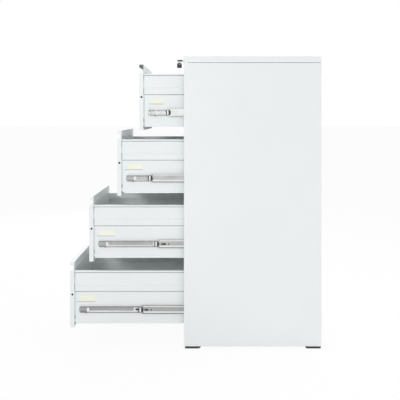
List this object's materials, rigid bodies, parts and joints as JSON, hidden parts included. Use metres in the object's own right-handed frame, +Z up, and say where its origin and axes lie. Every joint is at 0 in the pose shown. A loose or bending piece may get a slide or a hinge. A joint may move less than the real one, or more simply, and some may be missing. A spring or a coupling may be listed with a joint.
{
  "type": "vertical filing cabinet",
  "caption": "Tall white steel filing cabinet with drawers on ball-bearing slides, full-width recessed pulls, a key lock with a hanging spare key, and black feet.",
  "frame": {"origin": "on the floor, under the middle of the casing's footprint, drawers not counted", "axes": "+Z up, +X to the right-hand side seen from the front (the lock's side), drawers open towards -Y"},
  "size_m": [0.46, 1.138, 1.32],
  "materials": {
    "casing_white": "satin powder coat",
    "drawer_white": "satin powder coat",
    "post_zinc": "satin powder coat",
    "slide_zinc": "bright zinc plate",
    "foot_black": "matt moulded",
    "lever_black": "matt moulded",
    "cap_grey": "matt moulded",
    "cap_white": "satin moulded",
    "lock_bright": "bright plated",
    "key_black": "matt moulded head",
    "ring_steel": "plain steel"
  },
  "bodies": {
    "carcass": {"side_panel_left": "casing_white", "side_panel_right": "casing_white", "back_panel": "casing_white", "top_cover": "casing_white", "bottom_pan": "casing_white", "plinth": "casing_white", "top_rail": "casing_white", "slide_posts_front": "post_zinc", "slide_posts_rear": "post_zinc", "slide_outer_left": "slide_zinc", "slide_outer_right": "slide_zinc", "feet_front": "foot_black", "feet_rear": "foot_black", "lock_barrel": "lock_bright"},
    "drawer_1": {"drawer_1_front": "drawer_white", "drawer_1_handle_caps": "cap_grey", "drawer_1_inner_pan": "drawer_white", "drawer_1_side_right": "drawer_white", "drawer_1_side_left": "drawer_white", "drawer_1_tray": "drawer_white", "drawer_1_back": "drawer_white", "drawer_1_slide_members": "slide_zinc"},
    "middle_1": {"slide_middle_1": "slide_zinc"},
    "levers_1": {"drawer_1_release_levers": "lever_black"},
    "drawer_2": {"drawer_2_front": "drawer_white", "drawer_2_handle_caps": "cap_white", "drawer_2_inner_pan": "drawer_white", "drawer_2_side_right": "drawer_white", "drawer_2_side_left": "drawer_white", "drawer_2_tray": "drawer_white", "drawer_2_back": "drawer_white", "drawer_2_slide_members": "slide_zinc"},
    "middle_2": {"slide_middle_2": "slide_zinc"},
    "levers_2": {"drawer_2_release_levers": "lever_black"},
    "drawer_3": {"drawer_3_front": "drawer_white", "drawer_3_handle_caps": "cap_white", "drawer_3_inner_pan": "drawer_white", "drawer_3_side_right": "drawer_white", "drawer_3_side_left": "drawer_white", "drawer_3_tray": "drawer_white", "drawer_3_back": "drawer_white", "drawer_3_slide_members": "slide_zinc"},
    "middle_3": {"slide_middle_3": "slide_zinc"},
    "levers_3": {"drawer_3_release_levers": "lever_black"},
    "drawer_4": {"drawer_4_front": "drawer_white", "drawer_4_handle_caps": "cap_white", "drawer_4_inner_pan": "drawer_white", "drawer_4_side_right": "drawer_white", "drawer_4_side_left": "drawer_white", "drawer_4_tray": "drawer_white", "drawer_4_back": "drawer_white", "drawer_4_slide_members": "slide_zinc"},
    "middle_4": {"slide_middle_4": "slide_zinc"},
    "levers_4": {"drawer_4_release_levers": "lever_black"},
    "lock": {"lock_plug": "lock_bright", "lock_cam": "slide_zinc", "key": "key_black"},
    "lock_bar": {"lock_bar": "slide_zinc"},
    "ring": {"key_ring": "ring_steel"},
    "spare_key": {"spare_key": "key_black"}
  },
  "joints": [
    {"name": "drawer_1_slide", "type": "slide", "parent": "carcass", "child": "drawer_1", "axis": [0, -1, 0], "range_m": [-0.204, 0.346]},
    {"name": "middle_1_slide", "type": "slide", "parent": "carcass", "child": "middle_1", "axis": [0, -1, 0], "range_m": [-0.106, 0.17979]},
    {"name": "levers_1_press", "type": "hinge", "parent": "drawer_1", "child": "levers_1", "pos_m": [0, -0.189, 1.065], "axis": [1, 0, 0], "range_deg": [-10, 10], "stiffness_Nm_per_rad": 0.1},
    {"name": "drawer_2_slide", "type": "slide", "parent": "carcass", "child": "drawer_2", "axis": [0, -1, 0], "range_m": [-0.304, 0.246]},
    {"name": "middle_2_slide", "type": "slide", "parent": "carcass", "child": "middle_2", "axis": [0, -1, 0], "range_m": [-0.188, 0.15213]},
    {"name": "levers_2_press", "type": "hinge", "parent": "drawer_2", "child": "levers_2", "pos_m": [0, -0.289, 0.766], "axis": [1, 0, 0], "range_deg": [-10, 10], "stiffness_Nm_per_rad": 0.1},
    {"name": "drawer_3_slide", "type": "slide", "parent": "carcass", "child": "drawer_3", "axis": [0, -1, 0], "range_m": [-0.431, 0.119]},
    {"name": "middle_3_slide", "type": "slide", "parent": "carcass", "child": "middle_3", "axis": [0, -1, 0], "range_m": [-0.159, 0.0439]},
    {"name": "levers_3_press", "type": "hinge", "parent": "drawer_3", "child": "levers_3", "pos_m": [0, -0.416, 0.467], "axis": [1, 0, 0], "range_deg": [-10, 10], "stiffness_Nm_per_rad": 0.1},
    {"name": "drawer_4_slide", "type": "slide", "parent": "carcass", "child": "drawer_4", "axis": [0, -1, 0], "range_m": [-0.518, 0.032]},
    {"name": "middle_4_slide", "type": "slide", "parent": "carcass", "child": "middle_4", "axis": [0, -1, 0], "range_m": [-0.231, 0.01427]},
    {"name": "levers_4_press", "type": "hinge", "parent": "drawer_4", "child": "levers_4", "pos_m": [0, -0.503, 0.168], "axis": [1, 0, 0], "range_deg": [-10, 10], "stiffness_Nm_per_rad": 0.1},
    {"name": "lock_bar_slide", "type": "slide", "parent": "carcass", "child": "lock_bar", "axis": [-1, 0, 0], "range_m": [0, 0.0064]},
    {"name": "lock_turn", "type": "hinge", "parent": "carcass", "child": "lock", "pos_m": [0.196, -0.31, 1.302], "axis": [0, 1, 0], "range_deg": [0, 90]},
    {"name": "ring_hang", "type": "hinge", "parent": "lock", "child": "ring", "pos_m": [0.196, -0.31, 1.302], "axis": [0, 1, 0], "range_deg": [-90, 0]},
    {"name": "spare_key_swing", "type": "hinge", "parent": "ring", "child": "spare_key", "pos_m": [0.20245, -0.3305, 1.28602], "axis": [1, 0, 0], "range_deg": [-60, 10]}
  ],
  "couplings": [
    {"joint": "middle_1_slide", "follows": "drawer_1_slide", "ratio": 0.51961},
    {"joint": "middle_2_slide", "follows": "drawer_2_slide", "ratio": 0.61842},
    {"joint": "middle_3_slide", "follows": "drawer_3_slide", "ratio": 0.36891},
    {"joint": "middle_4_slide", "follows": "drawer_4_slide", "ratio": 0.44595},
    {"joint": "lock_turn", "follows": "lock_bar_slide", "rad_per_m": 245.44},
    {"joint": "ring_hang", "follows": "lock_bar_slide", "rad_per_m": -245.44}
  ]
}
